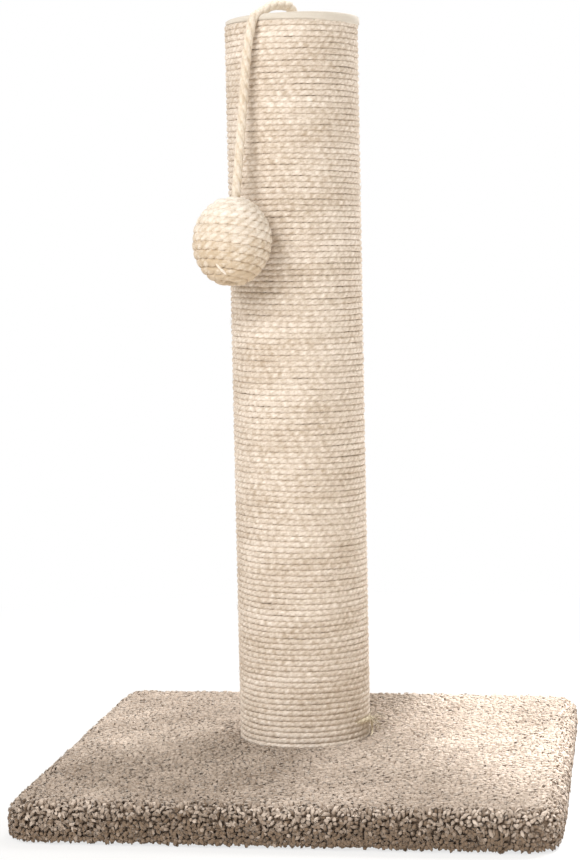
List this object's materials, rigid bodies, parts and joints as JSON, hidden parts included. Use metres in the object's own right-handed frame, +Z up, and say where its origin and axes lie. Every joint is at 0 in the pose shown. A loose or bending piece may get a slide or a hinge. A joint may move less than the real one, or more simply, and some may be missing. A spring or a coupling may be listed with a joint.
{
  "type": "cat scratching post",
  "caption": "Square carpeted base with an upright sisal-wound post; a rope over the post's rim carries a rope-wound ball.",
  "frame": {"origin": "middle of the base's underside, on the floor", "axes": "+Z up along the post, +X to the right along the base's front edge, +Y to the back; the toy hangs at the front left"},
  "size_m": [0.305, 0.305, 0.4676],
  "materials": {
    "carpet": "cut pile, taupe",
    "fibreboard": "raw fibreboard",
    "plug_wood": "raw softwood",
    "cardboard": "wound kraft board",
    "sisal": "twisted natural fibre",
    "ball_sisal": "twisted natural fibre",
    "cotton_rope": "twisted cotton",
    "felt": "pressed felt",
    "foam": "hard foam",
    "zinc_steel": "zinc plated",
    "staple_steel": "bright wire"
  },
  "bodies": {
    "root": {"base_carpet": "carpet", "base_board": "fibreboard", "post_bolt": "zinc_steel", "bolt_washer": "zinc_steel", "plug_insert": "zinc_steel", "post_tube": "cardboard", "bottom_plug": "plug_wood", "top_plug": "plug_wood", "top_cap": "felt", "sisal_wrap": "sisal", "carpet_staples": "staple_steel", "bottom_plug_staples": "staple_steel", "top_plug_staples": "staple_steel", "wrap_staples": "staple_steel", "toy_rope_top": "cotton_rope", "top_knot": "cotton_rope", "sisal_tail": "sisal"},
    "rope_bend": {"toy_rope_bend": "cotton_rope"},
    "rope_drop": {"toy_rope_drop": "cotton_rope", "ball_knot": "cotton_rope"},
    "ball": {"ball_core": "foam", "ball_winding": "ball_sisal"}
  },
  "joints": [
    {"name": "toy_swing_side", "type": "hinge", "parent": "root", "child": "rope_bend", "pos_m": [-0.02746, 0.00566, 0.4607], "axis": [-0.454, -0.891, 0], "range_deg": [-60, 60]},
    {"name": "toy_swing_out", "type": "hinge", "parent": "rope_bend", "child": "rope_drop", "pos_m": [-0.03177, -0.0028, 0.4577], "axis": [-0.891, 0.454, 0], "range_deg": [0, 90]},
    {"name": "ball_spin", "type": "hinge", "parent": "rope_drop", "child": "ball", "pos_m": [-0.04094, -0.0208, 0.3265], "axis": [0.0764, 0.15, 0.9857], "range_deg": [-180, 180]}
  ]
}
